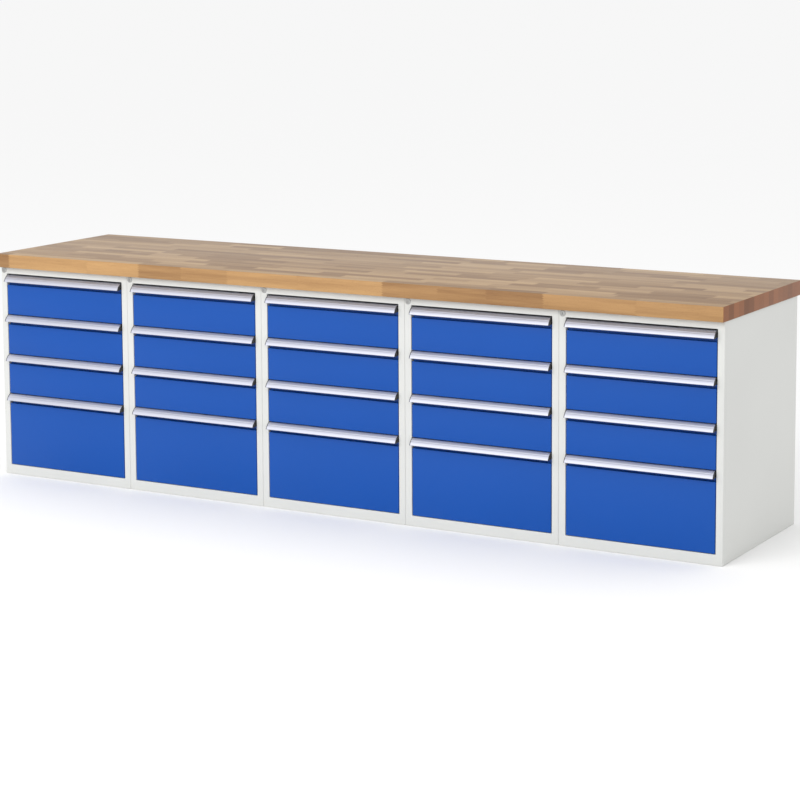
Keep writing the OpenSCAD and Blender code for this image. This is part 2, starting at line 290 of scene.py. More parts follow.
def remap(tree, value, fromLow, fromHigh, toLow, toHigh):
    inputs = {0: value, 1: fromLow, 2: fromHigh, 3: toLow, 4: toHigh}
    return addNode(tree, "ShaderNodeMapRange", inputs).outputs[0]


def noise(tree, place, scale, detail=3.0, roughness=0.5, stretch=None):
    if stretch:
        place = vectorCalc(tree, "MULTIPLY", place, stretch)
    inputs = {"Vector": place, "Scale": scale, "Detail": detail, "Roughness": roughness}
    return addNode(tree, "ShaderNodeTexNoise", inputs).outputs[0]


def newMaterial(name):
    material = bpy.data.materials.new(name)
    material.use_nodes = True
    tree = material.node_tree
    tree.nodes.clear()
    surface = addNode(tree, "ShaderNodeBsdfPrincipled")
    addNode(tree, "ShaderNodeOutputMaterial", {0: surface.outputs[0]})
    place = addNode(tree, "ShaderNodeTexCoord")
    return material, tree, surface, place


def setBump(tree, surface, height, strength, distance):
    bump = addNode(
        tree, "ShaderNodeBump", {"Height": height, "Strength": strength, "Distance": distance}
    )
    tree.links.new(bump.outputs[0], surface.inputs["Normal"])


# Materials


def powderCoat(name, colour, roughness, gloss):
    material, tree, surface, coords = newMaterial(name)
    place = coords.outputs["Object"]
    peel = noise(tree, place, 420, 2, 0.4)
    cloud = noise(tree, place, 2.5, 2)
    grain = noise(tree, place, 2600, 1)
    dark = tuple(0.975 * part for part in colour) + (1,)
    light = tuple(min(1, 1.01 * part) for part in colour) + (1,)
    tone = blendColours(tree, remap(tree, cloud, 0.3, 0.7, 0, 1), dark, light)
    tree.links.new(tone, surface.inputs["Base Color"])
    rough = remap(tree, grain, 0.3, 0.7, roughness - 0.05, roughness + 0.06)
    tree.links.new(rough, surface.inputs["Roughness"])
    surface.inputs["Specular IOR Level"].default_value = gloss
    setBump(tree, surface, peel, 0.25, 0.00012)
    return material


def brushedMetal(name, colour, roughness, along, streak=900, strength=0.12):
    # Fine lines along one axis
    material, tree, surface, coords = newMaterial(name)
    stretch = [1.0, 1.0, 1.0]
    stretch[along] = 0.01
    lines = noise(tree, coords.outputs["Object"], streak, 2, 0.6, stretch)
    dark = tuple(0.9 * part for part in colour) + (1,)
    tone = blendColours(tree, remap(tree, lines, 0.3, 0.7, 0, 1), dark, colour + (1,))
    tree.links.new(tone, surface.inputs["Base Color"])
    surface.inputs["Metallic"].default_value = 1.0
    rough = remap(tree, lines, 0.3, 0.7, roughness - 0.05, roughness + 0.05)
    tree.links.new(rough, surface.inputs["Roughness"])
    setBump(tree, surface, lines, strength, 0.00005)
    return material


def zincPlate(name, colour, roughness):
    # Passivated plating: faint clouds and small spangles
    material, tree, surface, coords = newMaterial(name)
    place = coords.outputs["Object"]
    spangle = addNode(tree, "ShaderNodeTexVoronoi", {"Vector": place, "Scale": 300.0}).outputs[1]
    value = addNode(tree, "ShaderNodeSeparateColor", {0: spangle}).outputs[0]
    cloud = noise(tree, place, 30, 4)
    spangled, clouded = calc(tree, "MULTIPLY", value, 0.35), calc(tree, "MULTIPLY", cloud, 0.65)
    blend = calc(tree, "ADD", spangled, clouded)
    dark = tuple(0.8 * part for part in colour) + (1,)
    tone = blendColours(tree, blend, dark, colour + (1,))
    tree.links.new(tone, surface.inputs["Base Color"])
    surface.inputs["Metallic"].default_value = 1.0
    rough = remap(tree, blend, 0.2, 0.8, roughness - 0.08, roughness + 0.1)
    tree.links.new(rough, surface.inputs["Roughness"])
    setBump(tree, surface, cloud, 0.1, 0.0001)
    return material


def mouldedPlastic(name, colour, roughness):
    material, tree, surface, coords = newMaterial(name)
    texture = noise(tree, coords.outputs["Object"], 1500, 2)
    dark = tuple(0.8 * part for part in colour) + (1,)
    tone = blendColours(tree, texture, dark, colour + (1,))
    tree.links.new(tone, surface.inputs["Base Color"])
    rough = remap(tree, texture, 0.3, 0.7, roughness - 0.05, roughness + 0.1)
    tree.links.new(rough, surface.inputs["Roughness"])
    setBump(tree, surface, texture, 0.2, 0.00008)
    return material


# Beech strips glued side by side, each made of shorter lengths joined end to end
beech = {
    "strips": 16,  # across the worktop
    "length": 0.26,  # of a middling piece of a strip
    "spread": 0.45,  # how much the pieces' lengths differ from strip to strip
    "drift": (5.3, 0.07),  # pace and reach of the joints' unevenness along a strip
    "rings": 2300.0,  # radians of growth rings in a metre
    "ringCentre": (-0.92, -0.72),  # heights the rings of the end grain bend round
    "stripLine": 0.0004,  # half the width of a glue line between strips
    "jointLine": 0.0005,
    "finger": 0.004,  # half the depth of a finger joint
    "fingerPitch": 0.008,
    "light": (0.475, 0.275, 0.113, 1),
    "dark": (0.225, 0.112, 0.042, 1),
    "end": (0.145, 0.056, 0.023, 1),
    "fleck": (0.16, 0.07, 0.028, 1),
    "topShadeTint": (0.86, 1.0, 1.34, 1),  # painted shade: the top is tinted darker and greyer than the edges, standing in for how light falls on it
}


def beechWood(name):
    material, tree, surface, coords = newMaterial(name)
    place = coords.outputs["Object"]
    facing = addNode(tree, "ShaderNodeSeparateXYZ", {0: coords.outputs["Normal"]})
    sides = addNode(tree, "ShaderNodeSeparateXYZ", {0: place})
    x, y, z = sides.outputs
    stripWidth = (topHigh.y - topLow.y) / beech["strips"]
    onEnd = remap(tree, calc(tree, "ABSOLUTE", facing.outputs[0]), 0.45, 0.55, 0, 1)
    onEdge = remap(tree, calc(tree, "ABSOLUTE", facing.outputs[1]), 0.45, 0.55, 0, 1)

    across = calc(tree, "DIVIDE", calc(tree, "SUBTRACT", y, topLow.y - 0.0001), stripWidth)
    strip = calc(tree, "FLOOR", across)
    seed = calc(tree, "ADD", strip, 3.7)
    stripRandom = addNode(tree, "ShaderNodeTexWhiteNoise", {"W": seed}, noise_dimensions="1D")
    # Fingers run along the strip, across y on the faces and across z on the edges
    crossing = addNode(tree, "ShaderNodeMix", {0: onEdge, 2: y, 3: z}).outputs[0]
    fingers = calc(tree, "PINGPONG", crossing, beech["fingerPitch"] / 2)
    zigzag = calc(tree, "MULTIPLY", fingers, 4 * beech["finger"] / beech["fingerPitch"])
    start = calc(tree, "MULTIPLY", stripRandom.outputs[0], 3.0)
    along = calc(tree, "ADD", calc(tree, "ADD", x, zigzag), start)
    chance = addNode(tree, "ShaderNodeSeparateColor", {0: stripRandom.outputs[1]}).outputs[2]
    short, long = 1 - beech["spread"], 1 + beech["spread"]
    pieceLength = remap(tree, chance, 0, 1, beech["length"] * short, beech["length"] * long)
    pace, reach = beech["drift"]
    wave = calc(tree, "SINE", calc(tree, "MULTIPLY", along, pace))
    along = calc(tree, "ADD", along, calc(tree, "MULTIPLY", wave, reach))
    alongCount = calc(tree, "DIVIDE", along, pieceLength)
    piece = calc(tree, "FLOOR", alongCount)
    pieceKey = addNode(tree, "ShaderNodeCombineXYZ", {0: strip, 1: piece, 2: 0.5}).outputs[0]
    pieceRandom = addNode(tree, "ShaderNodeTexWhiteNoise", {"Vector": pieceKey})
    shift = vectorCalc(tree, "MULTIPLY", pieceRandom.outputs[1], (3.0, 3.0, 3.0))
    ownPlace = vectorCalc(tree, "ADD", place, shift)

    # Long grain: broad bands, fine fibres and short dark flecks
    bands = noise(tree, ownPlace, 1.0, 5, 0.62, (1.6, 34, 34))
    fibres = noise(tree, ownPlace, 1.0, 3, 0.6, (14, 620, 620))
    pores = noise(tree, ownPlace, 1.0, 2, 0.5, (170, 1500, 1500))
    bandTone = remap(tree, bands, 0.32, 0.68, 0, 1)
    pieceTone = remap(tree, pieceRandom.outputs[0], 0, 1, -0.4, 0.4)
    tone = calc(tree, "ADD", calc(tree, "MULTIPLY", bandTone, 0.5), pieceTone)
    tone = calc(tree, "ADD", tone, calc(tree, "MULTIPLY", fibres, 0.5))
    clamped = addNode(tree, "ShaderNodeClamp", {0: tone}).outputs[0]
    longGrain = blendColours(tree, clamped, beech["dark"], beech["light"])
    fleckMask = remap(tree, pores, 0.62, 0.7, 0, 0.45)
    longGrain = blendColours(tree, fleckMask, longGrain, beech["fleck"])

    # Thin glue lines between strips and along the finger joints
    stripEdge = calc(tree, "PINGPONG", across, 0.5)
    stripLine = remap(tree, stripEdge, 0, beech["stripLine"] / stripWidth, 0.55, 0)
    jointEdge = calc(tree, "PINGPONG", alongCount, 0.5)
    jointLine = remap(tree, jointEdge, 0, beech["jointLine"] / beech["length"], 0.4, 0)
    offEdge = calc(tree, "MULTIPLY", stripLine, calc(tree, "SUBTRACT", 1.0, onEdge))
    lines = calc(tree, "MAXIMUM", offEdge, jointLine)
    longGrain = blendColours(tree, lines, longGrain, beech["fleck"])

    # Painted shade: faces turned upwards take the darker, greyer tint, standing in for the light
    # falling on the top
    onTop = remap(tree, facing.outputs[2], 0.45, 0.55, 0, 1)
    topShaded = blendColours(tree, 1.0, longGrain, beech["topShadeTint"], "MULTIPLY")
    longGrain = blendColours(tree, onTop, longGrain, topShaded)

    # End grain: growth rings round a centre that differs from strip to strip
    stripMiddle = calc(tree, "MULTIPLY", calc(tree, "ADD", strip, 0.5), stripWidth)
    fromMiddle = calc(tree, "SUBTRACT", calc(tree, "SUBTRACT", y, topLow.y), stripMiddle)
    offset = addNode(tree, "ShaderNodeSeparateColor", {0: stripRandom.outputs[1]})
    ringY = calc(tree, "ADD", fromMiddle, remap(tree, offset.outputs[0], 0, 1, -0.05, 0.05))
    centre = remap(tree, offset.outputs[1], 0, 1, *beech["ringCentre"])
    ringZ = calc(tree, "ADD", z, centre)
    ringPlace = addNode(tree, "ShaderNodeCombineXYZ", {0: ringY, 1: ringZ}).outputs[0]
    radius = addNode(tree, "ShaderNodeVectorMath", {0: ringPlace}, operation="LENGTH").outputs[1]
    wobble = calc(tree, "MULTIPLY", noise(tree, place, 60, 2), 0.004)
    wobbled = calc(tree, "ADD", radius, wobble)
    ringWave = calc(tree, "SINE", calc(tree, "MULTIPLY", wobbled, beech["rings"]))
    ringTone = remap(tree, ringWave, -1, 1, 0.2, 0.8)
    ringTone = calc(tree, "ADD", ringTone, remap(tree, stripRandom.outputs[0], 0, 1, -0.5, 0.6))
    endLight = tuple(1.9 * part for part in beech["end"][:3]) + (1,)
    ringBlend = addNode(tree, "ShaderNodeClamp", {0: ringTone}).outputs[0]
    endGrain = blendColours(tree, ringBlend, beech["end"], endLight)
    endGrain = blendColours(tree, stripLine, endGrain, beech["fleck"])

    colour = blendColours(tree, onEnd, longGrain, endGrain)
    tree.links.new(colour, surface.inputs["Base Color"])
    rough = remap(tree, fibres, 0.3, 0.7, 0.42, 0.56)
    tree.links.new(rough, surface.inputs["Roughness"])
    relief = calc(tree, "SUBTRACT", fibres, calc(tree, "MULTIPLY", fleckMask, 0.6))
    surface.inputs["Specular IOR Level"].default_value = 0.3
    setBump(tree, surface, relief, 0.3, 0.00012)
    return material


cabinetGrey = powderCoat("CabinetGrey", (0.60, 0.605, 0.585), 0.42, 0.4)
frontBlue = powderCoat("FrontBlue", (0.001, 0.066, 0.34), 0.36, 0.26)
aluminium = brushedMetal("Aluminium", (0.52, 0.53, 0.60), 0.55, 0, 900, 0.04)
lockNickel = brushedMetal("LockNickel", (0.40, 0.40, 0.39), 0.3, 2, 1400)
zincSteel = zincPlate("ZincSteel", (0.70, 0.71, 0.72), 0.38)
blackPlastic = mouldedPlastic("BlackPlastic", (0.02, 0.02, 0.022), 0.5)
beechTop = beechWood("BeechTop")
print("materials made")


# Helpers for Geometry Nodes


def newTree(name, sizes):
    # A modifier tree with the given named inputs, returning it with its input and output nodes
    tree = bpy.data.node_groups.new(name, "GeometryNodeTree")
    kinds = {float: "NodeSocketFloat", int: "NodeSocketInt"}
    tree.interface.new_socket("Geometry", in_out="INPUT", socket_type="NodeSocketGeometry")
    for label, value in sizes.items():
        kind = kinds.get(type(value))
        if isinstance(value, bpy.types.Material):
            kind = "NodeSocketMaterial"
        if isinstance(value, bpy.types.Object):
            kind = "NodeSocketObject"
        socket = tree.interface.new_socket(label, in_out="INPUT", socket_type=kind)
        if kind in kinds.values():
            socket.default_value = value
    tree.interface.new_socket("Geometry", in_out="OUTPUT", socket_type="NodeSocketGeometry")
    return tree, addNode(tree, "NodeGroupInput").outputs, addNode(tree, "NodeGroupOutput")


def realised(tree, instances, material, output):
    real = addNode(tree, "GeometryNodeRealizeInstances", {0: instances}).outputs[0]
    painted = addNode(tree, "GeometryNodeSetMaterial", {0: real, 2: material}).outputs[0]
    tree.links.new(painted, output.inputs[0])


def grown(points, tree, sizes, name, turns=None):
    # Runs a tree on a mesh of loose points and keeps the mesh that it makes
    mesh = bpy.data.meshes.new(name)
    mesh.from_pydata(points, [], [])
    if turns:
        turn = mesh.attributes.new("turn", "FLOAT_VECTOR", "POINT")
        turn.data.foreach_set("vector", [part for euler in turns for part in euler])
    obj = newObject(name, mesh)
    modifier = obj.modifiers.new("Nodes", "NODES")
    modifier.node_group = tree
    identifiers = {item.name: item.identifier for item in tree.interface.items_tree}
    for label, value in sizes.items():
        modifier[identifiers[label]] = value
    made = evaluated(obj, name)
    bpy.data.objects.remove(obj)
    made.set_sharp_from_angle(angle=math.radians(32))
    return made


def turnedCopies(tree, points, shape):
    # An instance of the shape at every point, turned by the point's attribute
    turn = addNode(
        tree, "GeometryNodeInputNamedAttribute", {"Name": "turn"}, data_type="FLOAT_VECTOR"
    )
    rotation = addNode(tree, "FunctionNodeEulerToRotation", {0: turn.outputs[0]}).outputs[0]
    inputs = {"Points": points, "Instance": shape, "Rotation": rotation}
    return addNode(tree, "GeometryNodeInstanceOnPoints", inputs).outputs[0]


def placedShapes(shape, points, name, material, turns=None):
    # Copies of a finished shape as one mesh
    obj = newObject(f"{name}Shape", shape)
    sizes = {"Shape": obj, "Material": material}
    tree, inputs, output = newTree(f"{name}Nodes", sizes)
    info = addNode(tree, "GeometryNodeObjectInfo", {"Object": inputs["Shape"]})
    copies = turnedCopies(tree, inputs["Geometry"], info.outputs["Geometry"])
    realised(tree, copies, inputs["Material"], output)
    mesh = grown(points, tree, sizes, name, turns)
    bpy.data.objects.remove(obj)
    return mesh


def rivetTree(name, sizes):
    # Domed heads: flattened balls sunk half way into the sheet
    tree, inputs, output = newTree(name, sizes)
    ball = addNode(tree, "GeometryNodeMeshUVSphere", {"Segments": 20, "Rings": 10, "Radius": 1.0})
    radius = calc(tree, "DIVIDE", inputs["Head Diameter"], 2.0)
    scale = addNode(tree, "ShaderNodeCombineXYZ", {0: radius, 1: radius, 2: inputs["Head Height"]})
    head = addNode(tree, "GeometryNodeTransform", {0: ball.outputs[0], "Scale": scale.outputs[0]})
    copies = turnedCopies(tree, inputs["Geometry"], head.outputs[0])
    realised(tree, copies, inputs["Material"], output)
    return tree


print("helpers ready")


# Worktop: a slab with softened edges

worktop = {"edge": 0.0015}

slab = gridBox(
    [topLow.x, topHigh.x], [topLow.y, topHigh.y], [topLow.z, topHigh.z], lambda *cell: False
)
bm = bmesh.new()
for corners in slab:
    bm.faces.new([bm.verts.new(point) for point in corners])
bmesh.ops.remove_doubles(bm, verts=bm.verts, dist=1e-5)
bmesh.ops.bevel(
    bm, geom=list(bm.edges), offset=worktop["edge"], segments=3, profile=0.5, affect="EDGES"
)
piece = newObject("worktopSlab", toMesh(bm, "worktopSlab", beechTop), "root")
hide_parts("worktop")
print("worktop done")


# Cabinets: folded sheet shells

cabinet = {
    "sheet": 0.0015,
    "bend": 0.0022,
    "stile": 0.025,
    "fold": 0.020,
    "header": 0.026,
    "base": 0.036,
    "flange": 0.025,
    "lockHole": 0.0081,  # radius
    "clearance": 0.0005,  # between the deck or a post and the sheet it ends at
}

cutReach = 0.01  # of a cutting shape on each side of the sheet
half = cabinetWidth / 2
openX = half - cabinet["stile"]
openTop = cabinetHigh.z - cabinet["header"]
xs = [-half, -openX, openX, half]
ys = [frontY, frontY + cabinet["flange"], backY - cabinet["flange"], backY]
zs = [0.0, cabinet["base"], openTop, cabinetHigh.z]


def cabinetOpenings(side, end, i, j):
    return (side == "y" and end == 0 or side == "z") and i == 1 and j == 1


foldY = frontY + cabinet["fold"]
deckBack = backY - cabinet["sheet"] - cabinet["clearance"]
shellPanels = gridBox(xs, ys, zs, cabinetOpenings)
shellPanels += [
    flat((-openX, frontY, zs[1]), (-openX, foldY, zs[2]), 1),
    flat((openX, frontY, zs[1]), (openX, foldY, zs[2]), -1),
    flat((-openX, frontY, zs[2]), (openX, foldY, zs[2]), -1),
    flat((-openX, frontY, zs[1]), (openX, foldY, zs[1]), 1),
    flat((-openX, foldY, zs[1]), (openX, deckBack, zs[1]), 1),
]
shell = sheetMetal(shellPanels, cabinet["bend"], cabinet["sheet"], "shell", cabinetGrey)

# The lock's hole through the left stile
lockLow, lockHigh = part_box("lock_housings")
lockX = lockLow.x + (lockHigh.z - lockLow.z) / 2 - cabinetX[1]
lockZ = (lockLow.z + lockHigh.z) / 2
outline = arcPoints((lockX, lockZ), cabinet["lockHole"], 0, 2 * math.pi, 40)[:-1]
drill = toMesh(prism(outline, 1, frontY - cutReach, frontY + cutReach), "lockHole")
shell = pierced(shell, drill, "shell")

for c in cabinets:
    mesh = moved(shell, (cabinetX[c], 0, 0), f"cabinetShell_{c}")
    piece = newObject(f"cabinetShell_{c}", mesh, "root")
    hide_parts(f"carcass_{c}")
print("cabinets done")


# Posts: folded channels with a slot at every step, stacked by a node tree

post = {
    "depth": 0.040,
    "trayInset": 0.015,  # from the opening's edge to the tray's side
    "face": 0.0125,  # from the tray's side to the post
    "sideGap": 0.0001,
    "behindFront": 0.035,
    "beforeBack": 0.085,
    "bend": 0.002,
    "count": 30,
    "slotWidth": 0.004,
    "slotHeight": 0.013,
}

trayHalf = openX - post["trayInset"]
postFace = trayHalf + post["face"]
postLow, postHigh = cabinet["base"], cabinetHigh.z - cabinet["sheet"] - cabinet["clearance"]
pitch = (postHigh - postLow) / post["count"]
reach = half - cabinet["sheet"] - post["sideGap"]
path = [(reach, post["depth"] / 2), (postFace, post["depth"] / 2)]
path += [(postFace, -post["depth"] / 2), (reach, -post["depth"] / 2)]
outline = bentProfile(path, post["bend"], cabinet["sheet"])
cell = toMesh(prism(outline, 2, 0, pitch), "postCell", cabinetGrey)
radius = post["slotWidth"] / 2
straight = post["slotHeight"] / 2 - radius
slotOutline = arcPoints((0, pitch / 2 + straight), radius, 0, math.pi, 8)
slotOutline += arcPoints((0, pitch / 2 - straight), radius, math.pi, 2 * math.pi, 8)
slotBar = prism(slotOutline, 0, postFace - cutReach, postFace + cutReach)
cell = newObject("postCell", pierced(cell, toMesh(slotBar, "postSlot"), "postCell"))

stackSizes = {"Count": post["count"], "Pitch": pitch, "Cell": cell, "Material": cabinetGrey}
tree, inputs, output = newTree("PostStack", stackSizes)
step = addNode(tree, "ShaderNodeCombineXYZ", {2: inputs["Pitch"]}).outputs[0]
line = addNode(tree, "GeometryNodeMeshLine", {"Count": inputs["Count"], "Offset": step})
shape = addNode(tree, "GeometryNodeObjectInfo", {"Object": inputs["Cell"]})
stack = addNode(
    tree,
    "GeometryNodeInstanceOnPoints",
    {"Points": line.outputs[0], "Instance": shape.outputs["Geometry"]},
)
whole = addNode(tree, "GeometryNodeRealizeInstances", {0: stack.outputs[0]}).outputs[0]
welded = addNode(tree, "GeometryNodeMergeByDistance", {"Geometry": whole, "Distance": 0.00001})
columns = turnedCopies(tree, inputs["Geometry"], welded.outputs[0])
realised(tree, columns, inputs["Material"], output)

frontPost = frontY + post["behindFront"] + post["depth"] / 2
rearPost = backY - post["beforeBack"] - post["depth"] / 2
points, turns = [], []
for c in cabinets:
    for y in (frontPost, rearPost):
        points += [(cabinetX[c], y, postLow)] * 2
        turns += [(0, 0, 0), (0, 0, math.pi)]
mesh = grown(points, tree, stackSizes, "runnerPosts", turns)
piece = newObject("runnerPosts", mesh, "root")
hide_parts(*[f"carcass_{c}" for c in cabinets])
bpy.data.objects.remove(cell)
print("posts done")


# Runners: the fixed channels, with lips that leave a slot for the moving rail

runner = {
    "trayLift": 0.012,  # the tray's bottom above the front's lower edge
    "gauge": 0.002,
    "bend": 0.003,
    "height": 0.035,
    "lift": 0.010,  # above the tray's bottom
    "length": 0.550,
    "rail": 0.019,
    "fit": 0.0008,
    "depth": 0.0105,
}

slotHalf = runner["rail"] / 2 + runner["fit"]
face = postFace - runner["depth"]
tall = runner["height"] / 2
path = [(face, -slotHalf), (face, -tall), (postFace, -tall)]
path += [(postFace, tall), (face, tall), (face, slotHalf)]
runnerStart = frontY + post["behindFront"]
outline = bentProfile(path, runner["bend"], runner["gauge"])
channel = prism(outline, 1, runnerStart, runnerStart + runner["length"])
frontBottom = {d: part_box(f"drawer_1_{d}")[0].z for d in drawers}
points, turns = [], []
for c in cabinets:
    for d in drawers:
        middle = frontBottom[d] + runner["trayLift"] + runner["lift"] + tall
        points += [(cabinetX[c], 0, middle)] * 2
        turns += [(0, 0, 0), (0, math.pi, 0)]
mesh = placedShapes(toMesh(channel, "channel"), points, "fixedRunners", zincSteel, turns)
piece = newObject("fixedRunners", mesh, "root")
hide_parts("drawer_runners")
print("runners done")


# Fixings: screws up into the worktop, bolts with nuts through two cabinets' sides

fixing = {
    "headRadius": 0.005,
    "headHeight": 0.003,
    "dish": 0.0017,  # radius of the hollow in a screw's head
    "dishDepth": 0.0012,
    "dishRim": 0.0014,  # from the head's edge
    "headEdge": (0.0004, 0.0007, 0.0018),  # inset, start and end of the rounding
    "shankRadius": 0.0025,
    "threadPitch": 0.0018,
    "threadDepth": 0.0005,
    "neck": 0.003,
    "point": 0.006,
    "screwInset": 0.100,
    "flange": 0.025,
    "boltInset": 0.130,
    "boltEnd": 0.075,
    "boltRadius": 0.003,
    "boltHead": 0.004,
    "nut": 0.005,
    "boltThreadDepth": 0.0003,
    "boltPitch": 0.001,
    "boltPoint": 0.0002,
    "across": 1.85,  # corner to corner of a hexagon, in bolt diameters
    "chamfer": 0.0004,
}


def threaded(radius, depth, pitch, start, end):
    # Profile of ridges along a shank, from start to end
    ridges = []
    for k in range(round((end - start) / pitch)):
        ridges += [(radius - depth, start + k * pitch), (radius, start + (k + 0.5) * pitch)]
    return ridges


screwLow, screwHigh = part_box("worktop_screws")
head, tall, shank = fixing["headRadius"], fixing["headHeight"], fixing["shankRadius"]
length = screwHigh.z - screwLow.z
inset, start, end = fixing["headEdge"]
profile = [(0, fixing["dishDepth"]), (fixing["dish"], 0), (head - fixing["dishRim"], 0)]
profile += [(head - inset, start), (head, end), (head, tall), (shank, tall)]
ends = (tall + fixing["neck"], length - fixing["point"])
profile += threaded(shank, fixing["threadDepth"], fixing["threadPitch"], *ends)
profile.append((0, length))
screwMesh = toMesh(turned(profile, 24), "screw", zincSteel, 50)
screwMesh.transform(Matrix.Rotation(math.pi / 2, 4, "X"))
middleY = (frontY + backY) / 2
inset = backY - middleY - fixing["screwInset"]
points = []
for c in cabinets:
    for side in (-1, 1):
        screwX = cabinetX[c] + side * (half - fixing["flange"] / 2)
        points += [(screwX, y, screwLow.z) for y in (middleY - inset, middleY, middleY + inset)]
mesh = placedShapes(screwMesh, points, "worktopScrews", zincSteel)
piece = newObject("worktopScrews", mesh, "root")
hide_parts("worktop_screws")


def hexagon(depth, height, name):
    corner = fixing["boltRadius"] * fixing["across"]
    outline = arcPoints((0, 0), corner, 0, 2 * math.pi, 6)[:-1]
    return toMesh(prism(outline, 0, depth, depth + height, fixing["chamfer"]), name, zincSteel, 20)


boltLow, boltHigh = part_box("cabinet_bolts")
grip = 2 * cabinet["sheet"]
radius = fixing["boltRadius"]
boltMeshes = [hexagon(-grip / 2 - fixing["boltHead"], fixing["boltHead"], "head")]
boltMeshes.append(hexagon(grip / 2, fixing["nut"], "nut"))
tail = boltHigh.x - boltLow.x - fixing["boltHead"] - (cabinetX[cabinetCount - 1] - cabinetX[1])
ends = (grip / 2 + fixing["nut"], tail - grip / 2 - fixing["boltPoint"])
profile = [(0, -grip / 2), (radius, -grip / 2), (radius, ends[0])]
profile += threaded(radius, fixing["boltThreadDepth"], fixing["boltPitch"], *ends)
profile.append((0, tail - grip / 2))
shankMesh = toMesh(turned(profile, 24), "shank", zincSteel, 50)
shankMesh.transform(Matrix.Rotation(-math.pi / 2, 4, "Z"))
boltMesh = joined(boltMeshes + [shankMesh], "bolt")
depths = (frontY + fixing["boltInset"], backY - fixing["boltInset"])
heights = (cabinetLow.z + fixing["boltEnd"], cabinetHigh.z - fixing["boltEnd"])
points = []
for c in list(cabinets)[:-1]:
    points += [(cabinetX[c] + half, y, z) for y in depths for z in heights]
mesh = placedShapes(boltMesh, points, "cabinetBolts", zincSteel)
piece = newObject("cabinetBolts", mesh, "root")
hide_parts("cabinet_bolts")
print("fixings done")


# Locks: ring, barrel and fork clip, the plug that turns, the bar it lifts and the bar's studs

lock = {
    "ring": 0.0105,  # radius
    "ringDepth": 0.0015,
    "ringChamfer": 0.0003,
    "ringRound": 0.0009,
    "barrel": 0.008,
    "length": 0.0195,
    "bore": 0.00608,
    "clip": 0.018,
    "clipGauge": 0.001,
    "clipGap": 0.0001,
    "clipEdge": 0.0002,
    "plugEdge": 0.00025,
    "barEdge": 0.0003,
    "studRadius": 0.0025,
    "studHead": 0.0045,
    "studHeadHeight": 0.0015,
    "studChamfer": 0.0004,
    "studFront": 0.021,  # behind the cabinet's front
    "studAcross": -0.0015,  # from the lock's axis
    "studInset": 0.034,  # from the rails below and above the drawers
}

ring, depth, bore = lock["ring"], lock["ringDepth"], lock["bore"]
chamfer, rounded = lock["ringChamfer"], lock["ringRound"]
profile = [(bore, -depth + chamfer), (bore + chamfer, -depth), (ring - rounded, -depth)]
profile += [(ring - chamfer, -depth + chamfer), (ring, -depth + rounded), (ring, 0)]
profile += [(lock["barrel"], 0), (lock["barrel"], lock["length"]), (bore, lock["length"])]
profile.append((bore, -depth + chamfer))
barrel = toMesh(turned(profile, 56), "barrel", lockNickel)
gap = lock["barrel"] + lock["clipGap"]
square = lock["clip"] / 2
outline = [(-square, -square), (-square, square), (square, square), (square, -square)]
outline += [(gap, -square)] + arcPoints((0, 0), gap, 0, math.pi, 16) + [(-gap, -square)]
clipEnds = (cabinet["sheet"], cabinet["sheet"] + lock["clipGauge"])
clip = toMesh(prism(outline, 1, *clipEnds, edge=lock["clipEdge"]), "clip", lockNickel)
points = [(cabinetX[c] + lockX, frontY, lockZ) for c in cabinets]
mesh = placedShapes(joined([barrel, clip], "housing"), points, "lockHousings", lockNickel)
piece = newObject("lockHousings", mesh, "root")
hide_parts("lock_housings")

# Headed studs on the front post guide the bar
shank, head = lock["studRadius"], lock["studHead"]
studX = lockX + lock["studAcross"]
studStart = frontY + lock["studFront"]
depth = runnerStart - studStart
chamfer, tall = lock["studChamfer"], lock["studHeadHeight"]
profile = [(0, 0), (head - chamfer, 0), (head, chamfer), (head, tall), (shank, tall)]
profile += [(shank, depth), (0, depth)]
studMesh = toMesh(turned(profile, 28), "stud", zincSteel)
points = []
for c in cabinets:
    for z in (cabinet["base"] + lock["studInset"], openTop - lock["studInset"]):
        points.append((cabinetX[c] + studX, studStart, z))
piece = newObject("guideStuds", placedShapes(studMesh, points, "guideStuds", zincSteel), "root")
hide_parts(*[f"carcass_{c}" for c in cabinets])

for c in cabinets:
    mesh = softened(f"lock_plug_{c}", lock["plugEdge"], f"lockPlug_{c}", lockNickel)
    piece = newObject(f"lockPlug_{c}", mesh, f"lock_{c}")
    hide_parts(f"lock_plug_{c}")
    mesh = softened(f"lock_bar_{c}", lock["barEdge"], f"lockBar_{c}", zincSteel)
    piece = newObject(f"lockBar_{c}", mesh, f"bar_{c}")
    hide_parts(f"lock_bar_{c}")
print("locks done")


# Drawers: the blue front, the grey tray and the plated fittings

drawer = {
    "sheet": 0.0012,
    "bend": 0.0022,
    "gripDrop": 0.036,
    "stripDrop": 0.0021,
    "rimDrop": 0.033,
    "frontDepth": 0.015,
    "trayGap": 0.00005,
    "hem": 0.0025,
    "hemDrop": 0.009,
    "hemInset": 0.0004,
    "hemCover": 0.001,  # of the hem above the sheet's edge
}
frontHalf = frontWidth / 2
cutEdge = 0.0003  # softening of cut sheet and moulded ends


